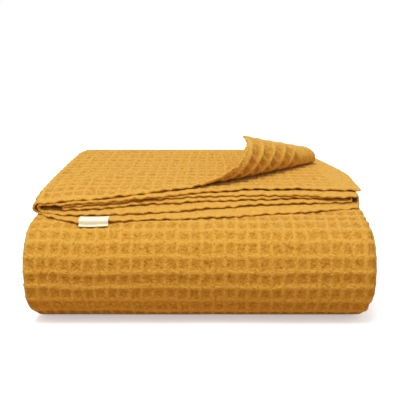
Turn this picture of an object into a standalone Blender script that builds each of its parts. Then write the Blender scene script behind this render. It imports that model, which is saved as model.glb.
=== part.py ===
"""Waffle weave cotton blanket, folded in six across its width and then rolled flat.

One cloth solid with its hems, and one sewn-on label.  Metres, +Z up, -Y is the front.

The cloth is described in two steps:
  * the strip: the blanket's width folded into six plies, A on top to F underneath;
  * the lay: that strip laid in eight levels, the top one being the open flap.
"""
import math
from collections import namedtuple

import bmesh
import bpy
from mathutils import Matrix, Vector

# ---------------------------------------------------------------- driving dimensions
CLOTH = 0.0014                 # thickness of one ply
PLY_PITCH = 0.0024             # from ply to ply inside the strip
LAYER_PITCH = 0.0158           # from level to level of the strip
HALF_WIDTH = 0.180             # half the folded width
FRONT = -0.1675                # foremost point of the pile
BACK = 0.1675                  # rearmost point of the pile
BODY_BACK_INSET = 0.004        # the lower levels stop this far inside the back
NOSE_REACH = 0.95              # depth of a rounded end over its height
NOSE_POWER_TOP = 2.2           # a rounder upper half ...
NOSE_POWER_BOTTOM = 2.5        # ... over a squarer lower half
FLAP_LIFT = 0.0016             # air between the flap and the level below it
FLAP_OPEN_FRONT = 1.40         # plies of the flap stand looser towards their hems
FLAP_OPEN_MIDDLE = 1.28
FLAP_OPEN_BACK = 1.2
FLAP_PINCH_LEFT = 0.25         # and closer again at the two sides
FLAP_PINCH_RIGHT = 0.12
FRONT_SAG = 0.050              # the pile is this share lower along its front
BACK_RISE = 0.015              # a little higher behind its middle
BACK_SAG = 0.030
BARREL = 0.050                 # and this share narrower at its bottom
TAPER_RIGHT = 0.032            # the right side runs in towards the back
TAPER_LEFT = 0.006
CORNER_INSET = 0.016           # rounding of the two back corners

LABEL_WIDTH = 0.031
LABEL_X = -0.1115              # middle of the label, left of the middle of the front
LABEL_THICKNESS = 0.0010
LABEL_GAP = 0.0003
LABEL_TUCK = 0.018             # how far it reaches in, over the hem, under the next ply
LABEL_HANG = 0.0050            # how far it hangs below the hem

COLOURS = {"cloth": (0.73, 0.40, 0.07, 1.0), "label": (0.86, 0.82, 0.70, 1.0)}

# One row per ply: its level in the strip, and how far forward its hem lies in the flap
# at four places across the width, from the left fold to the right side.
Ply = namedtuple("Ply", "name level left mid_left mid_right right")
PLIES = (
    Ply("A", 2.5, -0.110, -0.086, -0.048, -0.046),
    Ply("B", 1.5, -0.113, -0.092, -0.064, -0.064),
    Ply("C", 0.5, -0.112, -0.088, -0.076, -0.080),
    Ply("D", -0.5, -0.114, -0.093, -0.079, -0.072),
    Ply("E", -1.5, -0.118, -0.110, -0.087, -0.078),
    Ply("F", -2.5, -0.133, -0.124, -0.108, -0.090),
)
HEM_PLACES = (-0.18, -0.06, 0.06, 0.18)

# One row per fold of the strip: the plies it joins, its side and its inset from there.
Fold = namedtuple("Fold", "first second side inset segments")
FOLDS = (
    Fold("B", "E", -1, 0.005, 4),
    Fold("E", "D", +1, 0.008, 3),
    Fold("D", "C", -1, 0.033, 3),
    Fold("C", "F", +1, 0.000, 4),
    Fold("F", "A", -1, 0.000, 5),
)
FREE_EDGE = {"A": 0.165, "B": 0.184}
EXTRA_POINTS = {"A": 16, "B": 4, "C": 1, "D": 1, "E": 2, "F": 3}

# One row per turn of the lay: the two levels it joins and the end of the pile it is at.
Turn = namedtuple("Turn", "start finish side segments")
TURNS = (
    Turn(8, 7, +1, 5),
    Turn(7, 1, -1, 9),
    Turn(1, 6, +1, 8),
    Turn(6, 2, -1, 7),
    Turn(2, 5, +1, 6),
    Turn(5, 3, -1, 6),
    Turn(3, 4, +1, 5),
)
FLAP_STATIONS = 20

# One row per level: how far its folds stand out at the left and at the right.
Level = namedtuple("Level", "number left right")
LEVELS = (
    Level(8, 0.003, 0.000),
    Level(7, 0.002, 0.002),
    Level(6, -0.004, 0.002),
    Level(5, 0.001, -0.004),
    Level(4, -0.003, 0.001),
    Level(3, 0.002, -0.003),
    Level(2, -0.002, 0.002),
    Level(1, 0.002, 0.002),
)

# The turned corner: the line it rolls about, from the front hem to the side hem.
ROLL_FRONT = (0.0056, -0.0464)
ROLL_BACK = (0.1456, 0.0786)
ROLL_RADIUS_FRONT = 0.0234
ROLL_RADIUS_BACK = 0.0097
ROLL_ANGLE = math.radians(175.0)

HALF_CLOTH = CLOTH / 2
STRIP_HALF = 2.5 * PLY_PITCH + HALF_CLOTH
FLAP_FLOOR = 6 * LAYER_PITCH + 2 * STRIP_HALF + FLAP_LIFT
FRONT_START = FRONT + NOSE_REACH * (3 * LAYER_PITCH + STRIP_HALF)
BACK_START = BACK - BODY_BACK_INSET - NOSE_REACH * (2.5 * LAYER_PITCH + STRIP_HALF)
FLAP_BACK = BACK - LAYER_PITCH / 2 - STRIP_HALF * FLAP_OPEN_BACK

Point = namedtuple("Point", "x level nx nn ply kept")
Station = namedtuple("Station", "kind t y z ny nz barrel open left right")


# ---------------------------------------------------------------- small helpers
def smooth(value):
    """Ease from 0 to 1."""
    value = min(max(value, 0.0), 1.0)
    return value * value * (3 - 2 * value)


def mix(first, second, share):
    return first + (second - first) * share


def row(table, key):
    return next(entry for entry in table if entry[0] == key)


def through(places, values, x):
    """The cubic through four values at four places."""
    total = 0.0
    for i, place in enumerate(places):
        term = values[i]
        for j, other in enumerate(places):
            if j != i:
                term *= (x - other) / (place - other)
        total += term
    return total


# ---------------------------------------------------------------- the strip's section
def ply_level(name):
    return row(PLIES, name).level * PLY_PITCH


def straight(ply, x_from, x_to, extra):
    """Points inside one ply, between its two ends; only the flap keeps them."""
    heading = 1 if x_to > x_from else -1
    points = []
    for i in range(1, extra + 1):
        x = mix(x_from, x_to, i / (extra + 1))
        points.append(Point(x, ply_level(ply), 0.0, heading, ply, False))
    return points


def fold_arc(fold):
    """Points round one fold, from its first ply to its second."""
    top = ply_level(fold.first)
    bottom = ply_level(fold.second)
    radius = abs(top - bottom) / 2
    x_centre = fold.side * (HALF_WIDTH - fold.inset - HALF_CLOTH - radius)
    going_down = top > bottom
    points = []
    for i in range(fold.segments + 1):
        turn = math.pi * i / fold.segments
        angle = math.pi / 2 - turn if going_down else turn - math.pi / 2
        x = x_centre + fold.side * radius * math.cos(angle)
        level = (top + bottom) / 2 + radius * math.sin(angle)
        outward = (fold.side * math.cos(angle), math.sin(angle))
        # Left of the way round the fold is outward or inward, by its turning sense.
        sign = 1 if (fold.side > 0) == going_down else -1
        name = fold.first if i == 0 else fold.second if i == fold.segments else ""
        points.append(Point(x, level, sign * outward[0], sign * outward[1], name, True))
    return points


def centre_line():
    """The cloth's middle line across the strip, from ply B's edge to ply A's edge."""
    line = [Point(FREE_EDGE["B"], ply_level("B"), 0.0, -1, "B", True)]
    for fold in FOLDS:
        arc = fold_arc(fold)
        line += straight(fold.first, line[-1].x, arc[0].x, EXTRA_POINTS[fold.first])
        line += arc
    line += straight("A", line[-1].x, FREE_EDGE["A"], EXTRA_POINTS["A"])
    line.append(Point(FREE_EDGE["A"], ply_level("A"), 0.0, 1, "A", True))
    return line


def outline():
    """(point, side) pairs round the cloth's section: one face, then back along the other."""
    line = centre_line()
    return [(point, 1) for point in line] + [(point, -1) for point in reversed(line)]


# ---------------------------------------------------------------- the shape of the pile
def plan_scale(x, y):
    """How much narrower the pile is at this depth than at its front."""
    taper = TAPER_RIGHT if x > 0 else TAPER_LEFT
    inset = taper * smooth(y / 0.14)
    inset += CORNER_INSET * max(0.0, (y - 0.130) / 0.0375) ** 2
    return 1 - inset / HALF_WIDTH


def barrel_scale(z):
    below = 1 - z / ((6 * LAYER_PITCH + 2 * STRIP_HALF) / 2)
    return 1 - BARREL * max(below, 0.0) ** 3


def sag_scale(y):
    front = FRONT_SAG * smooth((-0.06 - y) / 0.06)
    rise = BACK_RISE * smooth((y - 0.02) / 0.08)
    back = BACK_SAG * smooth((y - 0.14) / 0.03)
    return 1 - front + rise - back


def roll(x, y, z):
    """Roll a point of ply A about the corner's line; also gives the cloth's normal."""
    along_x = ROLL_BACK[0] - ROLL_FRONT[0]
    along_y = ROLL_BACK[1] - ROLL_FRONT[1]
    length = math.hypot(along_x, along_y)
    ux, uy = along_x / length, along_y / length
    wx, wy = uy, -ux
    along = (x - ROLL_FRONT[0]) * ux + (y - ROLL_FRONT[1]) * uy
    across = (x - ROLL_FRONT[0]) * wx + (y - ROLL_FRONT[1]) * wy
    if across <= 0:
        return (x, y, z), (0.0, 0.0, 1.0)
    share = min(max(along / length, -0.1), 1.1)
    radius = mix(ROLL_RADIUS_FRONT, ROLL_RADIUS_BACK, share)
    angle = min(across / radius, ROLL_ANGLE)
    rest = across - radius * angle
    out = radius * math.sin(angle) + rest * math.cos(angle)
    up = radius * (1 - math.cos(angle)) + rest * math.sin(angle)
    place = (ROLL_FRONT[0] + along * ux + out * wx, ROLL_FRONT[1] + along * uy + out * wy)
    normal = (-math.sin(angle) * wx, -math.sin(angle) * wy, math.cos(angle))
    return (place[0], place[1], z + up), normal


def hem_front(x, level):
    """How far forward the flap's hem lies, at this place and level of the strip."""
    lines = [(ply.level * PLY_PITCH, through(HEM_PLACES, ply[2:6], x)) for ply in PLIES]
    level = min(max(level, lines[-1][0]), lines[0][0])
    for (high, y_high), (low, y_low) in zip(lines, lines[1:]):
        if level >= low:
            return mix(y_low, y_high, (level - low) / (high - low))
    return lines[-1][1]


def flap_open(t, x):
    """How loosely the flap's plies lie, against the plies of the levels below."""
    left = FLAP_PINCH_LEFT * smooth((-0.13 - x) / 0.05) * (1 - t)
    right = FLAP_PINCH_RIGHT * smooth((x - 0.10) / 0.08) * (1 - t)
    if t < 0.2:
        loose = mix(FLAP_OPEN_FRONT, FLAP_OPEN_MIDDLE, smooth(t / 0.2))
    else:
        loose = mix(FLAP_OPEN_MIDDLE, FLAP_OPEN_BACK, (t - 0.2) / 0.8)
    return loose * (1 - left - right)


def spread(x, left, right):
    return x + (right if x > 0 else -left) * abs(x) / HALF_WIDTH


def flap_point(point, side, t):
    station_left = row(LEVELS, 8).left
    front = hem_front(point.x, point.level)
    y = mix(front, FLAP_BACK, t)
    z = FLAP_FLOOR + (point.level + STRIP_HALF) * flap_open(t, point.x)
    x = spread(point.x, station_left, 0.0) * plan_scale(point.x, y)
    z *= sag_scale(y)
    offset = side * HALF_CLOTH
    if point.ply == "A":
        (x, y, z), normal = roll(x, y, z)
        return (x + normal[0] * offset, y + normal[1] * offset, z + normal[2] * offset)
    return (x + point.nx * offset, y, z + point.nn * offset)


def lay_point(point, side, station):
    offset = side * HALF_CLOTH
    away = point.level * station.open + point.nn * offset
    y = station.y + station.ny * away
    z = station.z + station.nz * away
    x = spread(point.x + point.nx * offset, station.left, station.right)
    x *= plan_scale(x, y) * mix(1.0, barrel_scale(z), station.barrel)
    return (x, y, z * sag_scale(y))


# ---------------------------------------------------------------- the lay of the strip
def level_height(number):
    if number == 8:
        return FLAP_FLOOR + STRIP_HALF * FLAP_OPEN_BACK
    return STRIP_HALF + (number - 1) * LAYER_PITCH


def turn_centre(turn):
    if turn.start == 8:
        return FLAP_BACK
    return BACK_START if turn.side > 0 else FRONT_START


def turn_place(turn, angle):
    """Place on a turn's middle line, angle running from its start to its finish."""
    z_start = level_height(turn.start)
    z_finish = level_height(turn.finish)
    half_height = (z_start - z_finish) / 2
    tight = abs(half_height) < LAYER_PITCH
    upper = (math.cos(angle) > 0) == (half_height > 0)
    power = 2.0 if tight else NOSE_POWER_TOP if upper else NOSE_POWER_BOTTOM
    reach = abs(half_height) * (1.0 if tight else NOSE_REACH)
    cosine = math.cos(angle)
    sine = max(math.sin(angle), 0.0)
    z = (z_start + z_finish) / 2 + half_height * math.copysign(abs(cosine) ** (2 / power), cosine)
    y = turn_centre(turn) + turn.side * reach * sine ** (2 / power)
    return y, z


def turn_stations(turn):
    """Stations round one turn, with the cloth's normal there (towards ply A)."""
    step = 1e-4
    stations = []
    start = row(LEVELS, turn.start)
    finish = row(LEVELS, turn.finish)
    for i in range(turn.segments + 1):
        share = i / turn.segments
        angle = math.pi * share
        y, z = turn_place(turn, angle)
        if i in (0, turn.segments):
            heading = (turn.side if i == 0 else -turn.side, 0.0)
        else:
            ahead = turn_place(turn, angle + step)
            behind = turn_place(turn, angle - step)
            length = math.hypot(ahead[0] - behind[0], ahead[1] - behind[1])
            heading = ((ahead[0] - behind[0]) / length, (ahead[1] - behind[1]) / length)
        from_flap = turn.start == 8
        barrel = share if from_flap else 1.0
        loose = mix(FLAP_OPEN_BACK, 1.0, min(1.6 * share, 1.0)) if from_flap else 1.0
        left = mix(start.left, finish.left, share)
        right = mix(start.right, finish.right, share)
        stations.append(
            Station("lay", 1.0, y, z, -heading[1], heading[0], barrel, loose, left, right))
    return stations


def all_stations():
    flap = [Station("flap", i / FLAP_STATIONS, 0, 0, 0, 1, 0, 1, 0, 0)
            for i in range(FLAP_STATIONS)]
    lay = [station for turn in TURNS for station in turn_stations(turn)]
    last = lay[-1]
    end = last._replace(y=FRONT_START + 0.006)
    return flap + lay + [end]


# ---------------------------------------------------------------- meshes
def new_object(name, mesh_data, material):
    mesh = bpy.data.meshes.new(name)
    mesh_data.to_mesh(mesh)
    mesh_data.free()
    mesh.materials.append(material)
    mesh.shade_smooth()
    mesh.set_sharp_from_angle(angle=math.radians(40))
    thing = bpy.data.objects.new(name, mesh)
    bpy.context.scene.collection.objects.link(thing)
    return thing


def make_material(name, colour, roughness):
    material = bpy.data.materials.new(name)
    material.use_nodes = True
    shader = material.node_tree.nodes["Principled BSDF"]
    shader.inputs["Base Color"].default_value = colour
    shader.inputs["Roughness"].default_value = roughness
    shader.inputs["Metallic"].default_value = 0.0
    return material


def make_blanket(material):
    """Sweep the strip's section along its lay.

    The flap's rings have extra points in their straight plies; the rings after the back
    fold leave them out, so the faces between the two kinds take a whole run of points.
    """
    ring_plan = outline()
    kept = [i for i, (point, side) in enumerate(ring_plan) if point.kept]
    shape = bmesh.new()
    rings = []
    for station in all_stations():
        if station.kind == "flap":
            places = [flap_point(point, side, station.t) for point, side in ring_plan]
        else:
            places = [lay_point(*ring_plan[i], station) for i in kept]
        rings.append([shape.verts.new(place) for place in places])

    for ring, following in zip(rings, rings[1:]):
        if len(ring) == len(following):
            pairs = list(range(len(ring)))
            for i in pairs:
                j = (i + 1) % len(ring)
                shape.faces.new((ring[i], ring[j], following[j], following[i]))
        else:
            for i, first in enumerate(kept):
                j = (i + 1) % len(kept)
                last = kept[j] if j else len(ring)
                run = [ring[k % len(ring)] for k in range(first, last + 1)]
                shape.faces.new(run + [following[j], following[i]])
    for ring in (rings[0], rings[-1]):
        half = len(ring) // 2
        for i in range(half - 1):
            shape.faces.new((ring[i], ring[i + 1], ring[-2 - i], ring[-1 - i]))
    bmesh.ops.recalc_face_normals(shape, faces=shape.faces)
    return new_object("blanket", shape, material)


def label_line(x):
    """Middle line of the label at x: over the lowest hem, round it and down."""
    level = ply_level("F")
    front = hem_front(x, level)
    lift = HALF_CLOTH + LABEL_GAP + LABEL_THICKNESS / 2
    steps = 6
    line = []
    for i in range(steps + 1):
        y = mix(front + LABEL_TUCK, front, i / steps)
        t = (y - front) / (FLAP_BACK - front)
        z = FLAP_FLOOR + (level + STRIP_HALF) * flap_open(t, x)
        line.append((y, z * sag_scale(y) + lift))
    y_hem, z_hem = line[-1]
    for i in range(1, 4):
        angle = math.radians(90 - 30 * i)
        line.append((y_hem - lift * math.cos(angle), z_hem - lift * (1 - math.sin(angle))))
    line.append((y_hem - lift, z_hem - LABEL_HANG))
    return line


def make_label(material):
    columns = 4
    shape = bmesh.new()
    layers = {1: [], -1: []}
    for column in range(columns + 1):
        x = LABEL_X + LABEL_WIDTH * (column / columns - 0.5)
        line = label_line(x)
        for side in layers:
            strip = []
            for i, (y, z) in enumerate(line):
                before = line[max(i - 1, 0)]
                after = line[min(i + 1, len(line) - 1)]
                length = math.hypot(after[0] - before[0], after[1] - before[1])
                ny = (after[1] - before[1]) / length
                nz = -(after[0] - before[0]) / length
                offset = side * LABEL_THICKNESS / 2
                place = (x * plan_scale(x, y), y + ny * offset, z + nz * offset)
                strip.append(shape.verts.new(place))
            layers[side].append(strip)
    rows = len(layers[1][0])
    for side, strips in layers.items():
        for strip, following in zip(strips, strips[1:]):
            for i in range(rows - 1):
                shape.faces.new((strip[i], strip[i + 1], following[i + 1], following[i]))
    for column in (0, columns):
        for i in range(rows - 1):
            upper, lower = layers[1][column], layers[-1][column]
            shape.faces.new((upper[i], upper[i + 1], lower[i + 1], lower[i]))
    for i in (0, rows - 1):
        for column in range(columns):
            upper, lower = layers[1], layers[-1]
            shape.faces.new((upper[column][i], upper[column + 1][i],
                             lower[column + 1][i], lower[column][i]))
    bmesh.ops.recalc_face_normals(shape, faces=shape.faces)
    return new_object("label", shape, material)


def centre(things):
    """Move the finished meshes so that the origin is the middle of the pile's base."""
    places = [vertex.co for thing in things for vertex in thing.data.vertices]
    middle = Vector((
        (min(place.x for place in places) + max(place.x for place in places)) / 2,
        (min(place.y for place in places) + max(place.y for place in places)) / 2,
        min(place.z for place in places),
    ))
    for thing in things:
        thing.data.transform(Matrix.Translation(-middle))
    print("moved by %.5f %.5f %.5f" % (-middle.x, -middle.y, -middle.z))


def main():
    for thing in list(bpy.data.objects):
        bpy.data.objects.remove(thing, do_unlink=True)
    blanket = make_blanket(make_material("mustard_cotton", COLOURS["cloth"], 0.9))
    label = make_label(make_material("ivory_label", COLOURS["label"], 0.7))
    centre([blanket, label])


main()
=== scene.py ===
# %% [markdown]
# # A waffle weave cotton blanket, folded and laid flat
#
# The blanket is one big piece of cotton.  Its width is folded into a strip of six plies,
# and the strip is laid in eight levels: seven are rolled flat, and the eighth is an open
# flap on top, with the hems of its six plies at the front and one corner turned back.
# This notebook makes that cloth twice as fine as its solid: with real waffle cells where
# they show, hems, stitches and a small sewn-on label.

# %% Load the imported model
import math
from collections import namedtuple

import bpy
import numpy as np
from mathutils import Matrix, Vector


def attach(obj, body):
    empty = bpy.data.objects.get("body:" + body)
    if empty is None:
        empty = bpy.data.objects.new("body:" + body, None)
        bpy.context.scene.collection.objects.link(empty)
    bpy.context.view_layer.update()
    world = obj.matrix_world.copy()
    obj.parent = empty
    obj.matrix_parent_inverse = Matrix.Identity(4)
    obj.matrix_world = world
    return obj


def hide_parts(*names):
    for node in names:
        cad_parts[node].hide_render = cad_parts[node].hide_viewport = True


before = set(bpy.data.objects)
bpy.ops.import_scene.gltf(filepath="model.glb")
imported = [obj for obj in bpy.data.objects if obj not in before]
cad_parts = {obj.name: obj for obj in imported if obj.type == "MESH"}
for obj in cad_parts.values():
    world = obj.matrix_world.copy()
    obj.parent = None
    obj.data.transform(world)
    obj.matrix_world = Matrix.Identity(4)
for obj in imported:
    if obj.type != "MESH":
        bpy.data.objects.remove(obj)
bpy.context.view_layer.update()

print("CAD nodes:", sorted(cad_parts))

# %% [markdown]
# ## Two small helpers
#
# Colours are written as the sRGB hex values that a paint chart would give, and one
# function turns them into the linear values that Blender's shaders expect.  A second
# function adds a node to a tree with its settings and links, for materials and for
# Geometry Nodes alike.

# %% Helpers for colours and nodes
def linear(hex_colour):
    """An sRGB hex colour as linear RGBA."""
    values = [int(hex_colour[i:i + 2], 16) / 255 for i in (1, 3, 5)]
    return tuple(v / 12.92 if v <= 0.04045 else ((v + 0.055) / 1.055) ** 2.4
                 for v in values) + (1.0,)


def add_node(tree, kind, settings=None, **inputs):
    """Add a node; inputs are sockets to link or values, by name (spaces as _) or _number."""
    node = tree.nodes.new(kind)
    for key, value in (settings or {}).items():
        setattr(node, key, value)
    for key, value in inputs.items():
        name = key[1:] if key.startswith("_") else key.replace("_", " ")
        socket = node.inputs[int(name)] if name.isdigit() else node.inputs[name]
        if isinstance(value, bpy.types.NodeSocket):
            tree.links.new(value, socket)
        else:
            socket.default_value = value
    return node


print("mustard in linear light:", [round(v, 3) for v in linear("#E0A23A")])

# %% [markdown]
# ## Sizes
#
# These are the sizes that the solid was built with, in metres, so that the fine cloth
# lies exactly on it.  The cells of the weave are a little longer than wide.

# %% Sizes of the cloth and the pile
CLOTH = 0.0014                 # one ply
PLY_PITCH = 0.0024             # ply to ply in the strip
LAYER_PITCH = 0.0158           # level to level of the strip
HALF_WIDTH = 0.180
FRONT, BACK = -0.1665, 0.1665
BODY_BACK_INSET = 0.004
NOSE_REACH = 0.95
NOSE_POWER_TOP, NOSE_POWER_BOTTOM = 2.2, 2.5
FLAP_LIFT = 0.0016
FLAP_OPEN = (1.40, 1.28, 1.20)      # how loose the flap's plies lie: hems, middle, back
FLAP_PINCH_LEFT, FLAP_PINCH_RIGHT = 0.25, 0.12
FRONT_SAG, BACK_RISE, BACK_SAG = 0.050, 0.015, 0.030
BARREL = 0.050
TAPER_RIGHT, TAPER_LEFT, CORNER_INSET = 0.032, 0.006, 0.016
PILE_SHIFT = Vector((-0.00169, 0.00056, 0.0))     # puts the origin under the middle

CELL_WIDTH, CELL_LENGTH = 0.0121, 0.0166
COLUMN_SHARE = 0.88            # height of the ribs along the cloth, against those across
RIDGE_HEIGHT = 0.0017          # how far the ridges stand out
PIT_DEPTH = 0.0006             # how far the cells sink in
HIDDEN_RELIEF = 0.2            # share of the relief left where plies are pressed together
HEM_RIPPLE_MOST = 0.0022       # the hems' edges run this far in and out
HEM_LIFT_MOST = 0.0008         # and this far up and down
END_HEM = 0.007                # the narrow hem at the blanket's end
SIDE_HEM = 0.031               # the wide plain hem along its sides
PLAIN_SHARE = 0.78             # how far a hem's layers flatten the cells under them
HEM_EXTRA = 0.00045            # a hem is this much thicker on each face
EDGE_ROUND = 0.0011            # rounding of every edge of the cloth

HALF_CLOTH = CLOTH / 2
STRIP_HALF = 2.5 * PLY_PITCH + HALF_CLOTH
BODY_TOP = 6 * LAYER_PITCH + 2 * STRIP_HALF
FLAP_FLOOR = BODY_TOP + FLAP_LIFT
FRONT_START = FRONT + NOSE_REACH * (3 * LAYER_PITCH + STRIP_HALF)
BACK_START = BACK - BODY_BACK_INSET - NOSE_REACH * (2.5 * LAYER_PITCH + STRIP_HALF)
FLAP_BACK = BACK - LAYER_PITCH / 2 - STRIP_HALF * FLAP_OPEN[2]
print("the body of the pile is %.0f mm high" % (BODY_TOP * 1000))

# %% [markdown]
# ## The tables
#
# A table row for each ply says at which level of the strip it lies and how far forward its
# hem reaches at five places across the flap.  A row for each fold of the strip says which
# plies it joins and how far it lies in from the side.  A row for each turn of the lay says
# which levels it joins.  The turned corner needs only the line that it rolls about.

# %% Plies, folds, levels and turns
Ply = namedtuple("Ply", "name level left near_left mid_left mid_right right")
PLIES = (
    Ply("A", 2.5, -0.104, -0.107, -0.086, -0.048, -0.046),
    Ply("B", 1.5, -0.104, -0.108, -0.092, -0.064, -0.064),
    Ply("C", 0.5, -0.104, -0.107, -0.088, -0.076, -0.080),
    Ply("D", -0.5, -0.104, -0.108, -0.093, -0.079, -0.072),
    Ply("E", -1.5, -0.102, -0.115, -0.110, -0.087, -0.078),
    Ply("F", -2.5, -0.098, -0.127, -0.124, -0.108, -0.088),
)
HEM_PLACES = (-0.180, -0.140, -0.060, 0.060, 0.180)

Fold = namedtuple("Fold", "first second side inset")
FOLDS = (
    Fold("B", "E", -1, 0.005),
    Fold("E", "D", +1, 0.008),
    Fold("D", "C", -1, 0.033),
    Fold("C", "F", +1, 0.000),
    Fold("F", "A", -1, 0.000),
)
FREE_EDGE = {"A": 0.165, "B": 0.184}

Level = namedtuple("Level", "number left right")
LEVELS = (
    Level(8, 0.003, 0.000),
    Level(7, 0.001, 0.001),
    Level(6, -0.004, 0.002),
    Level(5, 0.001, -0.004),
    Level(4, -0.003, 0.001),
    Level(3, 0.002, -0.003),
    Level(2, -0.002, 0.002),
    Level(1, 0.001, 0.001),
)
Turn = namedtuple("Turn", "start finish side")
TURNS = (
    Turn(8, 7, +1), Turn(7, 1, -1), Turn(1, 6, +1), Turn(6, 2, -1),
    Turn(2, 5, +1), Turn(5, 3, -1), Turn(3, 4, +1),
)

ROLL_FRONT, ROLL_BACK = np.array((0.0056, -0.0464)), np.array((0.1456, 0.0786))
ROLL_RADIUS_FRONT, ROLL_RADIUS_BACK = 0.0234, 0.0097
ROLL_ANGLE = math.radians(175.0)


def row(table, key):
    return next(entry for entry in table if entry[0] == key)


print(len(PLIES), "plies,", len(FOLDS), "folds,", len(LEVELS), "levels")

# %% [markdown]
# ## The strip's section
#
# Cut across the strip and the cloth is one long back-and-forth line.  We walk along it
# from ply B's free edge to ply A's and note, every couple of millimetres, where it is,
# which way its face looks and how much cloth has passed: that last number carries the
# weave's columns round every fold.  The outline of the section is that line walked twice,
# there on one face and back on the other.

# %% Walk along the cloth's middle line
SAMPLE = CELL_WIDTH / 6
EDGE_SAMPLES = (0.0, 0.00025, 0.0007, 0.0014)


def smooth(value):
    value = np.clip(value, 0.0, 1.0)
    return value * value * (3 - 2 * value)


def mix(first, second, share):
    return first + (second - first) * share


def ply_level(name):
    return row(PLIES, name).level * PLY_PITCH


def walk_ply(name, x_from, x_to):
    """Samples inside one straight ply, as (x, level, nx, nn, ply, in a fold)."""
    heading = 1.0 if x_to > x_from else -1.0
    count = max(2, round(abs(x_to - x_from) / SAMPLE))
    return [(mix(x_from, x_to, i / count), ply_level(name), 0.0, heading, name, False)
            for i in range(1, count)]


def walk_fold(fold):
    """Samples round one fold of the strip."""
    top, bottom = ply_level(fold.first), ply_level(fold.second)
    radius = abs(top - bottom) / 2
    centre = fold.side * (HALF_WIDTH - fold.inset - HALF_CLOTH - radius)
    downwards = top > bottom
    sign = 1.0 if (fold.side > 0) == downwards else -1.0
    count = max(4, round(math.pi * radius / SAMPLE))
    samples = []
    for i in range(count + 1):
        turn = math.pi * i / count
        angle = math.pi / 2 - turn if downwards else turn - math.pi / 2
        cosine, sine = fold.side * math.cos(angle), math.sin(angle)
        samples.append((centre + radius * cosine, (top + bottom) / 2 + radius * sine,
                        sign * cosine, sign * sine, "", True))
    return samples


def walk_strip():
    """The middle line's samples as named arrays."""
    samples = [(FREE_EDGE["B"] - inwards, ply_level("B"), 0.0, -1.0, "B", False)
               for inwards in EDGE_SAMPLES]
    for fold in FOLDS:
        arc = walk_fold(fold)
        samples += walk_ply(fold.first, samples[-1][0], arc[0][0])
        samples += arc
    last = FREE_EDGE["A"] - EDGE_SAMPLES[-1]
    samples += walk_ply("A", samples[-1][0], last)
    samples += [(FREE_EDGE["A"] - inwards, ply_level("A"), 0.0, 1.0, "A", False)
                for inwards in reversed(EDGE_SAMPLES)]
    x, level, nx, nn = (np.array([s[i] for s in samples]) for i in range(4))
    steps = np.hypot(np.diff(x), np.diff(level))
    return {
        "x": x, "level": level, "nx": nx, "nn": nn,
        "ply": np.array([s[4] for s in samples]),
        "fold": np.array([s[5] for s in samples]),
        "u": np.concatenate([[0.0], np.cumsum(steps)]),
    }


line = walk_strip()
there_and_back = np.concatenate([np.arange(len(line["x"])), np.arange(len(line["x"]))[::-1]])
ring = {name: values[there_and_back] for name, values in line.items()}
ring["side"] = np.repeat([1.0, -1.0], len(line["x"]))
CLOTH_WIDTH = float(line["u"][-1])
ring["from_side_edge"] = np.minimum(ring["u"], CLOTH_WIDTH - ring["u"])
print("the blanket is %.2f m wide, in %d samples" % (CLOTH_WIDTH, len(line["x"])))

# %% [markdown]
# ## The shape of the pile
#
# Four soft changes make the stack of plies a pile of real cloth: it runs in towards the
# back, it is narrower at its foot, it sags towards its front, and its top corner rolls
# back.  The roll is a cone: its radius shrinks from the front hem to the side hem, and the
# cloth beyond the rolled part goes on straight, so the tip stands up.

# %% Taper, sag and the rolled corner
def plan_scale(x, y):
    inset = np.where(x > 0, TAPER_RIGHT, TAPER_LEFT) * smooth(y / 0.14)
    inset = inset + CORNER_INSET * np.maximum(0.0, (y - 0.130) / 0.0375) ** 2
    return 1 - inset / HALF_WIDTH


def barrel_scale(z):
    return 1 - BARREL * np.maximum(1 - z / (BODY_TOP / 2), 0.0) ** 3


def sag_scale(y):
    front = FRONT_SAG * smooth((-0.06 - y) / 0.06)
    return 1 - front + BACK_RISE * smooth((y - 0.02) / 0.08) - BACK_SAG * smooth((y - 0.14) / 0.03)


def spread(x, left, right):
    return x + np.where(x > 0, right, -left) * np.abs(x) / HALF_WIDTH


def roll_across(x, y):
    """Distance beyond the corner's roll line, and the share of the way along it."""
    run = ROLL_BACK - ROLL_FRONT
    length = np.hypot(*run)
    ux, uy = run / length
    along = (x - ROLL_FRONT[0]) * ux + (y - ROLL_FRONT[1]) * uy
    across = (x - ROLL_FRONT[0]) * uy - (y - ROLL_FRONT[1]) * ux
    return across, along, (ux, uy), np.clip(along / length, -0.1, 1.1)


def roll(x, y, z):
    """Roll points of the top ply; gives the new places and the cloth's normals."""
    across, along, (ux, uy), share = roll_across(x, y)
    radius = mix(ROLL_RADIUS_FRONT, ROLL_RADIUS_BACK, share)
    turned = across > 0
    angle = np.where(turned, np.minimum(across / radius, ROLL_ANGLE), 0.0)
    rest = np.where(turned, across - radius * angle, 0.0)
    out = np.where(turned, radius * np.sin(angle) + rest * np.cos(angle), across)
    up = radius * (1 - np.cos(angle)) + rest * np.sin(angle)
    places = np.stack([ROLL_FRONT[0] + along * ux + out * uy,
                       ROLL_FRONT[1] + along * uy - out * ux, z + up], axis=-1)
    normals = np.stack([-np.sin(angle) * uy, np.sin(angle) * ux, np.cos(angle)], axis=-1)
    return places, normals


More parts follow.
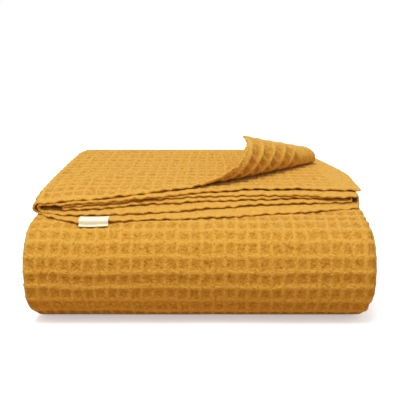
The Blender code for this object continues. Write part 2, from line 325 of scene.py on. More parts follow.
# %% Where each ply's hem lies in the flap
def hem_front(x, level):
    """The flap's hem: a smooth line through each ply's five places, and between plies."""
    lines = []
    for ply in PLIES:
        total = np.zeros_like(x)
        slopes = np.gradient(np.array(ply[2:7]), np.array(HEM_PLACES))
        clipped = np.clip(x, HEM_PLACES[0], HEM_PLACES[-1])
        for i in range(len(HEM_PLACES) - 1):
            low, high = HEM_PLACES[i], HEM_PLACES[i + 1]
            inside = (clipped >= low) & ((clipped < high) | (i == len(HEM_PLACES) - 2))
            t = (clipped - low) / (high - low)
            gap = high - low
            value = ((2 * t**3 - 3 * t**2 + 1) * ply[2 + i]
                     + (t**3 - 2 * t**2 + t) * gap * slopes[i]
                     + (3 * t**2 - 2 * t**3) * ply[3 + i]
                     + (t**3 - t**2) * gap * slopes[i + 1])
            total = np.where(inside, value, total)
        lines.append(total)
    place = np.clip(2.5 - level / PLY_PITCH, 0.0, 5.0)
    upper = np.minimum(place.astype(int), 4)
    stack = np.array(lines)
    columns = np.arange(len(x))
    return mix(stack[upper, columns], stack[upper + 1, columns], place - upper)


ring["hem"] = hem_front(ring["x"], ring["level"])
print("hems lie from %.0f to %.0f mm behind the middle" % (
    ring["hem"].min() * 1000, ring["hem"].max() * 1000))

# %% [markdown]
# ## How thick the cloth is, and where its cells show
#
# A hem is cloth turned over twice, so it is thicker and plain.  The waffle cells stand out
# fully only where the cloth is free: on the top, the front and back faces, round the
# folded sides and on the turned corner.  Between the plies they are pressed nearly flat.

# %% Thickness, and the share of the relief
# Soft creases that folding left: two ends, width and height, on the front face as
# (x, z) and on the top ply as (x, y).  A height below zero is a trough.
Crease = namedtuple("Crease", "start end width height")
FRONT_CREASES = (
    Crease((-0.175, 0.024), (0.060, 0.029), 0.007, -0.0012),
    Crease((-0.080, 0.016), (0.178, 0.019), 0.008, 0.0012),
    Crease((0.050, 0.046), (0.178, 0.036), 0.009, 0.0010),
    Crease((-0.178, 0.060), (-0.060, 0.052), 0.010, -0.0009),
)
TOP_CREASES = (
    Crease((-0.176, -0.070), (-0.070, 0.010), 0.012, 0.0011),
    Crease((-0.150, 0.060), (0.020, 0.075), 0.014, -0.0009),
    Crease((-0.050, -0.070), (0.020, -0.010), 0.010, -0.0009),
    Crease((0.010, 0.000), (0.080, 0.090), 0.014, 0.0010),
)


def crease_height(creases, across, up):
    """Height of the creases at places on a face; each fades out towards its ends."""
    total = np.zeros_like(across)
    for crease in creases:
        (x0, y0), (x1, y1) = crease.start, crease.end
        length = math.hypot(x1 - x0, y1 - y0)
        ux, uy = (x1 - x0) / length, (y1 - y0) / length
        along = ((across - x0) * ux + (up - y0) * uy) / length
        off = (across - x0) * uy - (up - y0) * ux
        fade = smooth(4 * along + 0.5) * smooth(4 * (1 - along) + 0.5)
        total = total + crease.height * fade * np.exp(-((off / crease.width) ** 2))
    return total


def edge_round(distance):
    away = 1 - np.clip(distance / EDGE_ROUND, 0.0, 1.0)
    return np.sqrt(np.maximum(1 - away**2, 0.02))


def hem_share(distance, width):
    """1 in a hem, 0 beyond its stitched line."""
    return 1 - smooth((distance - width) / 0.0012)


def half_thickness(from_end):
    """Half the cloth's thickness, round its edges and fuller in its hems."""
    side_edge = ring["from_side_edge"]
    hem = np.maximum(hem_share(from_end, END_HEM), hem_share(side_edge, SIDE_HEM))
    return (HALF_CLOTH + HEM_EXTRA * hem) * edge_round(from_end) * edge_round(side_edge), hem


def flap_open(s, x):
    left = FLAP_PINCH_LEFT * smooth((-0.13 - x) / 0.05) * (1 - s)
    right = FLAP_PINCH_RIGHT * smooth((x - 0.10) / 0.08) * (1 - s)
    loose = np.where(s < 0.2, mix(FLAP_OPEN[0], FLAP_OPEN[1], smooth(s / 0.2)),
                     mix(FLAP_OPEN[1], FLAP_OPEN[2], (s - 0.2) / 0.8))
    return loose * (1 - left - right)


# %% [markdown]
# ## Placing a ring of the flap
#
# A ring is the section's outline at one station.  In the flap the station is a share of
# the way from each ply's own hem to the back fold.

# %% One ring of the flap
Ring = namedtuple("Ring", "places uv relief shift keep")
FACE_A = (ring["ply"] == "A") & (ring["side"] > 0)
BACK_A = (ring["ply"] == "A") & (ring["side"] < 0)
TOP_B = (ring["ply"] == "B") & (ring["side"] < 0)
FACE_F = (ring["ply"] == "F") & (ring["side"] > 0)
FACE_SHIFT = np.where(ring["side"] > 0, 0.0, 0.5)     # the two faces' cells alternate


def waves(u, lengths, phase):
    """A lasting, uneven ripple along u: the mean of a few sines."""
    return sum(np.sin(2 * math.pi * u / length + phase * (i + 1))
               for i, length in enumerate(lengths)) / len(lengths)


HEM_RIPPLE = waves(ring["u"], (0.0121, 0.0173, 0.047, 0.083), 1.3)
HEM_LIFT = waves(ring["u"], (0.0121, 0.0205, 0.058), 2.1)


def flap_surface(s, lift=0.0):
    """Places of the whole ring at share s of the flap, with its hem and roll numbers."""
    y = mix(ring["hem"], FLAP_BACK, s)
    near = 1 - smooth((y - ring["hem"]) / 0.035)
    half, hem = half_thickness(y - ring["hem"])
    level = ring["level"] + HEM_LIFT_MOST * HEM_LIFT * near
    z = (FLAP_FLOOR + (level + STRIP_HALF) * flap_open(s, ring["x"])) * sag_scale(y)
    y = y + HEM_RIPPLE_MOST * HEM_RIPPLE * near
    x = spread(ring["x"], row(LEVELS, 8).left, 0.0) * plan_scale(ring["x"], y)
    half = half + np.where(FACE_A, crease_height(TOP_CREASES, x, y) * (1 - near), 0.0)
    offset = (ring["side"] * (half + lift))[:, None]
    normals = np.stack([ring["nx"], np.zeros_like(x), ring["nn"]], axis=-1)
    places = np.stack([x, y, z], axis=-1)
    rolled, rolled_normals = roll(x, y, z)
    in_a = (ring["ply"] == "A")[:, None]
    places = np.where(in_a, rolled, places) + offset * np.where(in_a, rolled_normals, normals)
    across = roll_across(x, y)[0]
    return places, y, hem, across


def flap_ring(s, keep):
    places, y, hem, across = flap_surface(s)
    relief = HIDDEN_RELIEF + (1 - HIDDEN_RELIEF) * np.abs(ring["nx"]) * (ring["side"] > 0)
    relief = np.where(FACE_A, 1.0, relief)
    relief = np.where(BACK_A, mix(HIDDEN_RELIEF, 1.35, smooth(across / 0.020)), relief)
    relief = np.where(TOP_B, mix(HIDDEN_RELIEF, 0.8, smooth((across + 0.002) / 0.015)), relief)
    uv = np.stack([ring["u"] + COLUMN_PHASE, FLAP_BACK - y], axis=-1)
    return Ring(places, uv, relief * (1 - PLAIN_SHARE * hem), FACE_SHIFT, keep)


# %% [markdown]
# ## Placing a ring of the levels
#
# The lay is a path in side view: straight along a level, then round a turn.  Wide turns are
# superellipses, a little squarer than circles as heavy folded cotton is.  A level's ring
# stands across that path.  The weave's rows are counted along the outer face.

# %% The path of the lay
Stop = namedtuple("Stop", "y z ny nz left right loose barrel fine")


def level_height(number):
    if number == 8:
        return FLAP_FLOOR + STRIP_HALF * FLAP_OPEN[2]
    return STRIP_HALF + (number - 1) * LAYER_PITCH


def turn_start(turn):
    if turn.start == 8:
        return FLAP_BACK
    return BACK_START if turn.side > 0 else FRONT_START


def turn_place(turn, angle):
    high, low = level_height(turn.start), level_height(turn.finish)
    half = (high - low) / 2
    tight = abs(half) < LAYER_PITCH
    upper = (math.cos(angle) > 0) == (half > 0)
    power = 2.0 if tight else NOSE_POWER_TOP if upper else NOSE_POWER_BOTTOM
    reach = abs(half) * (1.0 if tight else NOSE_REACH)
    cosine, sine = math.cos(angle), max(math.sin(angle), 0.0)
    return (turn_start(turn) + turn.side * reach * sine ** (2 / power),
            (high + low) / 2 + half * math.copysign(abs(cosine) ** (2 / power), cosine))


def turn_stops(turn, spacing, fine):
    """Stops round one turn, evenly spaced along its middle line."""
    angles = np.linspace(0.0, math.pi, 721)
    path = np.array([turn_place(turn, angle) for angle in angles])
    run = np.concatenate([[0.0], np.cumsum(np.hypot(*np.diff(path, axis=0).T))])
    count = max(8, round(run[-1] / spacing))
    start, finish = row(LEVELS, turn.start), row(LEVELS, turn.finish)
    from_flap = turn.start == 8
    stops = []
    for i in range(count + 1):
        share = i / count
        y = float(np.interp(run[-1] * share, run, path[:, 0]))
        z = float(np.interp(run[-1] * share, run, path[:, 1]))
        if i in (0, count):
            heading = (turn.side if i == 0 else -turn.side, 0.0)
        else:
            ends = np.interp([run[-1] * share - 2e-4, run[-1] * share + 2e-4], run, path[:, 0])
            rise = np.interp([run[-1] * share - 2e-4, run[-1] * share + 2e-4], run, path[:, 1])
            length = math.hypot(ends[1] - ends[0], rise[1] - rise[0])
            heading = ((ends[1] - ends[0]) / length, (rise[1] - rise[0]) / length)
        loose = mix(FLAP_OPEN[2], 1.0, min(1.6 * share, 1.0)) if from_flap else 1.0
        stops.append(Stop(y, z, -heading[1], heading[0], mix(start.left, finish.left, share),
                          mix(start.right, finish.right, share), loose,
                          share if from_flap else 1.0, fine))
    return stops


def run_stops(number, y_from, y_to, spacing, fine_before=None):
    """Stops along one level, without its two ends; fine where y is below fine_before."""
    level = row(LEVELS, number)
    count = max(2, round(abs(y_to - y_from) / spacing))
    heading = 1.0 if y_to > y_from else -1.0
    return [Stop(y, level_height(number), 0.0, heading, level.left, level.right, 1.0, 1.0,
                 fine_before is not None and y < fine_before)
            for y in (mix(y_from, y_to, i / count) for i in range(1, count))]


print("levels at", [round(level_height(level.number) * 1000) for level in LEVELS], "mm")

# %% One ring of a level
LOWEST_HEM = hem_front(ring["x"], np.full_like(ring["x"], ply_level("F")))


def level_rings(stops, v_start, outside, keep_fine):
    """Rings at the stops.  outside is +1 where ply A's face is outermost and -1 for F's.

    v, the distance that the rows of cells follow, is counted along that outer face.
    """
    rings = []
    v = v_start
    before = None
    for stop in stops:
        keep = keep_fine if stop.fine else KEEP_LEVEL
        reach = outside * STRIP_HALF
        outer = (stop.y + stop.ny * reach, stop.z + stop.nz * reach)
        if before is not None:
            v += math.hypot(outer[0] - before[0], outer[1] - before[1])
        before = outer
        half = (HALF_CLOTH + HEM_EXTRA * hem_share(ring["from_side_edge"], SIDE_HEM))
        half = half * edge_round(ring["from_side_edge"])
        if stop.y < FRONT_START:
            crease = crease_height(FRONT_CREASES, ring["x"], stop.z)
            crease = crease * smooth((stop.z - 0.009) / 0.012)
            half = half + np.where(FACE_F, crease, 0.0)
        offset = ring["side"] * half
        away = ring["level"] * stop.loose + ring["nn"] * offset
        y = stop.y + stop.ny * away
        z = stop.z + stop.nz * away
        x = spread(ring["x"] + ring["nx"] * offset, stop.left, stop.right)
        x = x * plan_scale(x, y) * mix(1.0, barrel_scale(z), stop.barrel)
        places = np.stack([x, y, z * sag_scale(y)], axis=-1)
        pressed = HIDDEN_RELIEF + (1 - HIDDEN_RELIEF) * np.abs(ring["nx"])
        free = mix(1.0, HIDDEN_RELIEF, smooth(-outside * ring["nn"] / 0.6))
        if outside < 0 and stop.z > BODY_TOP - 2 * STRIP_HALF:
            # On level 7 the ribs are pressed down from where the flap covers them.
            free = mix(free, HIDDEN_RELIEF, smooth((y - LOWEST_HEM + 0.004) / 0.010))
        relief = np.where(ring["side"] > 0, free if stop.fine else pressed, 0.0)
        relief = relief * smooth((z - 0.0008) / 0.010)
        relief = relief * (1 - PLAIN_SHARE * hem_share(ring["from_side_edge"], SIDE_HEM))
        uv = np.stack([ring["u"] + COLUMN_PHASE, np.full_like(x, v)], axis=-1)
        rings.append(Ring(places, uv, relief, FACE_SHIFT, keep))
    return rings


# %% [markdown]
# ## From rings to a closed mesh
#
# Fine faces are only spent where they show.  A ring keeps all of its samples, or leaves
# most of the hidden ones out; where a fine ring meets a coarse one, one face takes a whole
# run of the fine ring's points.

# %% Which samples a ring keeps
index = there_and_back
PLAIN = ring["fold"] | (index % 60 == 0)
for name in "ABCDEF":
    first = np.flatnonzero(line["ply"] == name)
    PLAIN |= (index == first[0]) | (index == first[-1])
PLAIN |= ring["from_side_edge"] <= EDGE_SAMPLES[-1] + 1e-6
KEEP_HEM = np.ones_like(PLAIN)
KEEP_FLAP = (PLAIN | FACE_A | (BACK_A & (ring["x"] > -0.015))
             | (TOP_B & (ring["x"] > -0.005)))
KEEP_BACK = PLAIN | FACE_A
KEEP_FRONT = PLAIN | FACE_F
KEEP_LEVEL = PLAIN


def bridge(first, second, first_ids, second_ids):
    """Faces between two rings, one of which keeps every sample the other keeps."""
    if first.keep.sum() < second.keep.sum():
        return [face[::-1] for face in bridge(second, first, second_ids, first_ids)]
    common = np.flatnonzero(second.keep)
    rich = np.flatnonzero(first.keep)
    position = {sample: i for i, sample in enumerate(rich)}
    faces = []
    for i, sample in enumerate(common):
        following = common[(i + 1) % len(common)]
        start, stop = position[sample], position[following]
        if stop <= start:
            stop += len(rich)
        run = [first_ids[rich[k % len(rich)]] for k in range(start, stop + 1)]
        faces.append(run + [second_ids[following], second_ids[sample]])
    return faces


def signed_volume(mesh):
    """Above zero where the faces point out."""
    places = np.array([vertex.co for vertex in mesh.vertices])
    corners = np.array([triangle.vertices for triangle in mesh.loop_triangles])
    first, second, third = (places[corners[:, i]] for i in range(3))
    return float(np.einsum("ij,ij->", first, np.cross(second, third))) / 6


def sweep(name, rings):
    """One closed mesh through the rings, with its numbers for the waffle relief."""
    ids, places, uv, relief, shift, faces = [], [], [], [], [], []
    total = 0
    for entry in rings:
        number = np.full(len(entry.keep), -1)
        number[entry.keep] = np.arange(total, total + entry.keep.sum())
        total += int(entry.keep.sum())
        ids.append(number)
        places.append(entry.places[entry.keep])
        uv.append(entry.uv[entry.keep])
        relief.append(entry.relief[entry.keep])
        shift.append(entry.shift[entry.keep])
    for (first, first_ids), (second, second_ids) in zip(
            zip(rings, ids), zip(rings[1:], ids[1:])):
        faces += bridge(first, second, first_ids, second_ids)
    for entry, number in ((rings[0], ids[0]), (rings[-1], ids[-1])):
        kept = number[entry.keep]
        cap = [[kept[i], kept[i + 1], kept[-2 - i], kept[-1 - i]]
               for i in range(len(kept) // 2 - 1)]
        faces += [face[::-1] for face in cap] if entry is rings[0] else cap
    mesh = bpy.data.meshes.new(name)
    mesh.from_pydata(np.concatenate(places).tolist(), [],
                     [[int(i) for i in face] for face in faces])
    for key, kind, field, values in (
            ("cloth_uv", "FLOAT_VECTOR", "vector", np.pad(np.concatenate(uv), ((0, 0), (0, 1)))),
            ("relief", "FLOAT", "value", np.concatenate(relief)),
            ("shift", "FLOAT", "value", np.concatenate(shift))):
        mesh.attributes.new(key, kind, "POINT").data.foreach_set(field, values.ravel())
    mesh.calc_loop_triangles()
    triangles = len(mesh.loop_triangles)
    if signed_volume(mesh) < 0:
        mesh.flip_normals()
    mesh.shade_smooth()
    mesh.transform(Matrix.Translation(PILE_SHIFT))
    thing = bpy.data.objects.new(name, mesh)
    bpy.context.scene.collection.objects.link(thing)
    print("%s: %d vertices, %d triangles" % (name, len(mesh.vertices), triangles))
    return thing


# %% [markdown]
# ## The cloth: the flap and the body of the pile
#
# The cloth is made as two pieces, which meet out of sight on top of the body of the pile:
# the open flap with the fold behind it, and the seven levels below.

# %% Stations of the flap
FLAP_LENGTH = FLAP_BACK - float(ring["hem"].min())
HEM_SHARES = [d / FLAP_LENGTH for d in (0.0, 0.0003, 0.0008, 0.0016, 0.003, 0.0048, 0.0066,
                                        0.0076, 0.0090, 0.0112, 0.0136, 0.0160, 0.0185, 0.021)]
REST_SHARES = np.linspace(HEM_SHARES[-1], 1.0, round((FLAP_LENGTH - 0.021) / 0.0025))[1:-1]
ROW_PHASE, COLUMN_PHASE = -0.0047, 0.0023    # where the cells start
SEAM_Y = FLAP_BACK - 0.020     # where the two pieces meet, on level 7

flap_rings = [flap_ring(share, KEEP_HEM) for share in HEM_SHARES]
flap_rings += [flap_ring(share, KEEP_FLAP) for share in REST_SHARES]
back_stops = turn_stops(TURNS[0], 0.0022, True)
back_stops.append(back_stops[-1]._replace(y=SEAM_Y, fine=False))
back_rings = level_rings(back_stops, 0.0, +1.0, KEEP_BACK)
flap = sweep("blanket_flap", flap_rings + back_rings)

# %% Stations of the body
body_stops = run_stops(7, SEAM_Y + 0.0055, FRONT_START, 0.0055)
body_stops = [stop for stop in body_stops if stop.y > -0.055]
body_stops += run_stops(7, -0.055, FRONT_START, 0.0024, fine_before=0.0)
for number, turn in enumerate(TURNS[1:]):
    outermost = turn.start in (7, 1)
    spacing = 0.0024 if turn.start == 7 else 0.0029 if turn.start == 1 else 0.0048
    body_stops += turn_stops(turn, spacing, outermost)
    if turn is TURNS[-1]:
        body_stops.append(body_stops[-1]._replace(y=FRONT_START + 0.006))
    else:
        following = TURNS[number + 2]
        body_stops += run_stops(turn.finish, turn_start(turn), turn_start(following), 0.0056)
body_rings = level_rings(body_stops, ROW_PHASE, -1.0, KEEP_FRONT)
body = sweep("blanket_body", body_rings)

# %% [markdown]
# ## Waffle relief
#
# A waffle weave is a grid of square-cornered cells: raised ribs of floating yarn round
# deep pits.  The node group below reads how far along the cloth each point is, works out
# where it lies in its cell, and pushes it out along its normal by the height of the ribs.
# The distance to the nearest rib, from 0 to 1, is also kept for the material, which paints shade
# into the pits with it.


# %% A node group that raises the waffle cells
def math_node(tree, operation, first, second=0.0, third=0.0):
    return add_node(tree, "ShaderNodeMath", {"operation": operation},
                    _0=first, _1=second, _2=third).outputs[0]


def named(tree, name, kind):
    node = add_node(tree, "GeometryNodeInputNamedAttribute", {"data_type": kind}, Name=name)
    return node.outputs["Attribute"]


def rib(tree, place, share):
    """1 on a rib and 0 in a pit, for a place counted in cells."""
    in_cell = math_node(tree, "FRACT", place)
    off_middle = math_node(tree, "ABSOLUTE", math_node(tree, "SUBTRACT", in_cell, 0.5))
    doubled = math_node(tree, "MULTIPLY", off_middle, 2.0)
    ranged = add_node(tree, "ShaderNodeMapRange", {"interpolation_type": "SMOOTHSTEP"},
                      Value=doubled, From_Min=math_node(tree, "SUBTRACT", 1.0, share),
                      From_Max=0.97)
    return ranged.outputs[0]


def waffle_group():
    tree = bpy.data.node_groups.new("waffle_relief", "GeometryNodeTree")
    sockets = tree.interface
    sockets.new_socket("Geometry", in_out="INPUT", socket_type="NodeSocketGeometry")
    for name in ("Cell Width", "Cell Length", "Ridge Height", "Pit Depth", "Ridge Share",
                 "Wander"):
        sockets.new_socket(name, in_out="INPUT", socket_type="NodeSocketFloat")
    sockets.new_socket("Material", in_out="INPUT", socket_type="NodeSocketMaterial")
    sockets.new_socket("Geometry", in_out="OUTPUT", socket_type="NodeSocketGeometry")
    source = add_node(tree, "NodeGroupInput").outputs

    # Real cells are never quite in line: a slow noise moves them about a little.
    uv = named(tree, "cloth_uv", "FLOAT_VECTOR")
    slow = add_node(tree, "ShaderNodeTexNoise", {"noise_dimensions": "3D"},
                    Vector=uv, Scale=22.0, Detail=1.0).outputs["Color"]
    centred = add_node(tree, "ShaderNodeVectorMath", {"operation": "SUBTRACT"},
                       _0=slow, _1=(0.5, 0.5, 0.5)).outputs[0]
    moved = add_node(tree, "ShaderNodeVectorMath", {"operation": "SCALE"},
                     _0=centred, Scale=source["Wander"]).outputs[0]
    place = add_node(tree, "ShaderNodeVectorMath", {"operation": "ADD"}, _0=uv, _1=moved)
    axes = add_node(tree, "ShaderNodeSeparateXYZ", Vector=place.outputs[0]).outputs
    shift = named(tree, "shift", "FLOAT")
    ribs = []
    for axis, size in (("X", "Cell Width"), ("Y", "Cell Length")):
        cells = math_node(tree, "DIVIDE", axes[axis], source[size])
        cells = math_node(tree, "ADD", cells, shift)
        ribs.append(rib(tree, cells, source["Ridge Share"]))
    # The ribs along the cloth are held down by the picks, so they stand a little lower.
    ribs[0] = math_node(tree, "MULTIPLY", ribs[0], COLUMN_SHARE)
    ridge = math_node(tree, "SMOOTH_MAX", ribs[0], ribs[1], 0.25)

    relief = named(tree, "relief", "FLOAT")
    rise = math_node(tree, "ADD", source["Ridge Height"], source["Pit Depth"])
    height = math_node(tree, "SUBTRACT", math_node(tree, "MULTIPLY", ridge, rise),
                       source["Pit Depth"])
    height = math_node(tree, "MULTIPLY", height, relief)
    normal = add_node(tree, "GeometryNodeInputNormal").outputs[0]
    offset = add_node(tree, "ShaderNodeVectorMath", {"operation": "SCALE"},
                      _0=normal, Scale=height).outputs[0]
    raised = add_node(tree, "GeometryNodeSetPosition", Geometry=source["Geometry"],
                      Offset=offset).outputs[0]
    keep = add_node(tree, "GeometryNodeStoreNamedAttribute",
                    {"data_type": "FLOAT", "domain": "POINT"},
                    Geometry=raised, Name="ridge", Value=ridge).outputs[0]
    done = add_node(tree, "GeometryNodeSetMaterial", Geometry=keep,
                    Material=source["Material"]).outputs[0]
    add_node(tree, "NodeGroupOutput", Geometry=done)
    return tree


def apply_group(thing, tree, **values):
    """Run a node group on an object and keep its result as the object's mesh."""
    modifier = thing.modifiers.new(tree.name, "NODES")
    modifier.node_group = tree
    for item in tree.interface.items_tree:
        key = item.name.replace(" ", "_").lower()
        if item.in_out == "INPUT" and key in values:
            modifier[item.identifier] = values[key]
    bpy.context.view_layer.update()
    graph = bpy.context.evaluated_depsgraph_get()
    made = bpy.data.meshes.new_from_object(thing.evaluated_get(graph), depsgraph=graph)
    thing.modifiers.remove(modifier)
    thing.data = made
    made.name = thing.name
    return thing


waffle = waffle_group()
print(waffle.name, "has", len(waffle.nodes), "nodes")

# %% [markdown]
# ## Materials
#
# The blanket is waffle woven cotton, dyed mustard: matt, with a slight fuzz that whitens
# at grazing angles.  Shade is painted into the pits: their colour is a darker, deeper mustard
# that stands in for the shade there and the light bouncing from yarn to yarn.  The label is
# a woven ivory tape, smoother and a little silky.


# %% Cotton and label tape
def new_material(name):
    material = bpy.data.materials.new(name)
    material.use_nodes = True
    tree = material.node_tree
    return material, tree, tree.nodes["Principled BSDF"]


def cotton_material():
    material, tree, shader = new_material("waffle_woven_cotton")
    ridge = add_node(tree, "ShaderNodeAttribute", {"attribute_name": "ridge"}).outputs["Fac"]
    relief = add_node(tree, "ShaderNodeAttribute", {"attribute_name": "relief"}).outputs["Fac"]
    place = add_node(tree, "ShaderNodeTexCoord").outputs["Object"]
    # Painted shade in the pits: the pits' share pulls the tone towards the darker pit colour.
    # Plain hems have no pits: where the relief is 0 the tone is the ribs' own.
    pit = math_node(tree, "MULTIPLY", math_node(tree, "SUBTRACT", 1.0, ridge), relief)
    crinkle = add_node(tree, "ShaderNodeTexNoise", Vector=place, Scale=430.0, Detail=3.0,
                       Roughness=0.6)
    grain = add_node(tree, "ShaderNodeMapRange", Value=crinkle.outputs[0],
                     From_Min=0.38, From_Max=0.62).outputs[0]
    # Little specks of painted shade, scattered by noise, for the dark gaps between crossing yarns.
    gap = add_node(tree, "ShaderNodeTexNoise", Vector=place, Scale=290.0, Detail=1.0)
    gap = add_node(tree, "ShaderNodeMapRange", Value=gap.outputs[0], From_Min=0.54,
                   From_Max=0.70).outputs[0]
    tone = math_node(tree, "ADD", math_node(tree, "MULTIPLY", pit, 0.62),
                     math_node(tree, "MULTIPLY", grain, -0.34))
    tone = math_node(tree, "ADD", tone, math_node(tree, "MULTIPLY", gap, 0.50))
    tone = math_node(tree, "ADD", tone, 0.14)
    # The ramp runs from the ribs' own colour to the darker colour of the painted pit shade.
    ramp = add_node(tree, "ShaderNodeValToRGB", Fac=tone)
    ramp.color_ramp.elements[0].color = linear(COTTON_RIB)
    ramp.color_ramp.elements[1].color = linear(COTTON_PIT_SHADE)
    tree.links.new(ramp.outputs[0], shader.inputs["Base Color"])
    # Yarn is about 0.8 mm thick and the fibres on it are far finer.
    yarn = add_node(tree, "ShaderNodeTexNoise", Vector=place, Scale=1300.0, Detail=2.0)
    height = math_node(tree, "ADD", math_node(tree, "MULTIPLY", yarn.outputs[0], 0.3),
                       crinkle.outputs[0])
    add_bump(tree, shader, height, 0.0030, 0.9)
    shader.inputs["Roughness"].default_value = 0.88
    shader.inputs["Specular IOR Level"].default_value = 0.3
    shader.inputs["Sheen Weight"].default_value = 0.25
    shader.inputs["Sheen Roughness"].default_value = 0.45
    shader.inputs["Sheen Tint"].default_value = linear("#F4DDA8")
    return material


def add_bump(tree, shader, height, distance, strength):
    bump = add_node(tree, "ShaderNodeBump", Height=height, Distance=distance,
                    Strength=strength)
    tree.links.new(bump.outputs[0], shader.inputs["Normal"])


def tape_material():
    material, tree, shader = new_material("woven_label_tape")
    place = add_node(tree, "ShaderNodeTexCoord").outputs["Object"]
    weave = add_node(tree, "ShaderNodeTexNoise", Vector=place, Scale=1800.0, Detail=1.0)
    add_bump(tree, shader, weave.outputs[0], 0.0002, 0.4)
    shader.inputs["Base Color"].default_value = linear("#EFE9D2")
    shader.inputs["Roughness"].default_value = 0.6
    return material


# The ribs' colour, and the darker colour painted into the pits as shade.
COTTON_RIB, COTTON_PIT_SHADE = "#EDB446", "#BF7C08"
cotton = cotton_material()
tape = tape_material()
print("materials:", cotton.name, "and", tape.name)

# %% Raise the cells on both pieces
for piece in (flap, body):
    apply_group(piece, waffle, cell_width=CELL_WIDTH, cell_length=CELL_LENGTH,
                ridge_height=RIDGE_HEIGHT, pit_depth=PIT_DEPTH, ridge_share=0.62,
                wander=0.006, material=cotton)
    print(piece.name, "now has", len(piece.data.vertices), "vertices")

# %% [markdown]
# ## The label
#
# A short ivory tape is sewn over the lowest hem near the left: it lies on ply F, goes
# round the hem's edge and hangs a few millimetres below it.

# %% A woven tape round the lowest hem
LABEL_WIDTH, LABEL_X = 0.031, -0.1115
LABEL_THICKNESS = 0.0008
LABEL_TUCK, LABEL_HANG, LABEL_ROUND = 0.0090, 0.0058, 0.0030
LABEL_CLEAR = HALF_CLOTH + HEM_EXTRA + HEM_RIPPLE_MOST / 2 + LABEL_THICKNESS / 2
LABEL_REST = RIDGE_HEIGHT + 0.0003 + LABEL_THICKNESS / 2

# The rounded front's outer face in side view, from its top down, with room for the ribs.
FRONT_FACE = np.array([
    (stop.y - stop.ny * (STRIP_HALF + LABEL_REST), stop.z - stop.nz * (STRIP_HALF + LABEL_REST))
    for stop in turn_stops(TURNS[1], 0.001, True) if stop.z > BODY_TOP / 2])
FRONT_FACE[:, 1] *= sag_scale(FRONT_FACE[:, 0])


def hem_height(x, y):
    """Middle of ply F's cloth in the flap."""
    front = hem_front(np.array([x]), np.array([ply_level("F")]))[0]
    share = max((y - front) / (FLAP_BACK - front), 0.0)
    loose = float(flap_open(share, np.array(x)))
    return (FLAP_FLOOR + (ply_level("F") + STRIP_HALF) * loose) * float(sag_scale(y)), front


def label_line(x):
    """The tape's middle line in side view, as (y, z) from inside to hanging end."""
    front = hem_height(x, 0.0)[1]
    line = [(y, hem_height(x, y)[0] + LABEL_CLEAR)
            for y in np.linspace(front + LABEL_TUCK, front, 12)]
    z = line[-1][1] - LABEL_CLEAR
    for i in range(1, 7):
        angle = math.radians(90 - 15 * i)
        line.append((front - LABEL_CLEAR * math.cos(angle), z + LABEL_CLEAR * math.sin(angle)))
    # It hangs down until it meets the rounded front of the pile, and then lies on that.
    y_edge = front - LABEL_CLEAR
    below = FRONT_FACE[FRONT_FACE[:, 0] < y_edge]
    meet = np.interp(-y_edge, -FRONT_FACE[:, 0], FRONT_FACE[:, 1])
    path = np.vstack([[(y_edge, z), (y_edge, min(meet, z - 0.0005))], below])
    run = np.concatenate([[0.0], np.cumsum(np.hypot(*np.diff(path, axis=0).T))])
    steps = np.linspace(0.0, LABEL_HANG, 10)[1:]
    hanging = np.stack([np.interp(steps, run, path[:, i]) for i in (0, 1)], axis=-1)
    return np.vstack([line, hanging])


def make_label():
    columns = 24
    places, faces = [], []
    for column in range(columns + 1):
        x = LABEL_X + LABEL_WIDTH * (column / columns - 0.5)
        line = label_line(x)
        along = np.gradient(line, axis=0)
        along /= np.hypot(*along.T)[:, None]
        normal = np.stack([along[:, 1], -along[:, 0]], axis=-1)
        for side in (1, -1):
            for y, z in line + side * normal * LABEL_THICKNESS / 2:
                places.append((x * float(plan_scale(x, y)), y, z))
    rows = len(places) // (columns + 1) // 2

    def corner(column, side, i):
        return (column * 2 + side) * rows + i

    for column in range(columns):
        loop = [(0, i) for i in range(rows)] + [(1, i) for i in reversed(range(rows))]
        for (side, i), (next_side, j) in zip(loop, loop[1:] + loop[:1]):
            faces.append((corner(column, side, i), corner(column, next_side, j),
                          corner(column + 1, next_side, j), corner(column + 1, side, i)))
    for column in (0, columns):
        cap = [(corner(column, 0, i), corner(column, 0, i + 1), corner(column, 1, i + 1),
                corner(column, 1, i)) for i in range(rows - 1)]
        faces += cap if column else [face[::-1] for face in cap]
    mesh = bpy.data.meshes.new("blanket_label")
    mesh.from_pydata(places, [], faces)
    mesh.calc_loop_triangles()
    if signed_volume(mesh) < 0:
        mesh.flip_normals()
    mesh.shade_smooth()
    mesh.set_sharp_from_angle(angle=math.radians(50))
    mesh.transform(Matrix.Translation(PILE_SHIFT))
    mesh.materials.append(tape)
    thing = bpy.data.objects.new("blanket_label", mesh)
    bpy.context.scene.collection.objects.link(thing)
    return thing


label = make_label()
print("label:", len(label.data.vertices), "vertices")

# %% [markdown]
# ## Stitches along the hems
#
# Every hem is held by a line of lock stitches.  We draw the line as a wire on the face of
# the cloth, and a second node group sets a small thread capsule at even steps along it.


# %% Wires along the stitched lines
def hem_wire(mask, low, high):
    """Places along a ply's end hem, between two distances across the cloth."""
    share = (END_HEM - 0.0004) / (FLAP_BACK - ring["hem"])
    places = flap_surface(share, lift=STITCH_LIFT)[0]
    chosen = np.flatnonzero(mask & (ring["u"] > low) & (ring["u"] < high))
    return places[chosen]


def side_wire(mask, share_from, share_to):
    """Places along a ply's side hem, from one share of the flap to another."""
    distance = np.abs(ring["from_side_edge"] - (SIDE_HEM - 0.0006))
    chosen = np.flatnonzero(mask)[np.argmin(distance[mask])]
    return np.array([flap_surface(share, lift=STITCH_LIFT)[0][chosen]
                     for share in np.linspace(share_from, share_to, 100)])


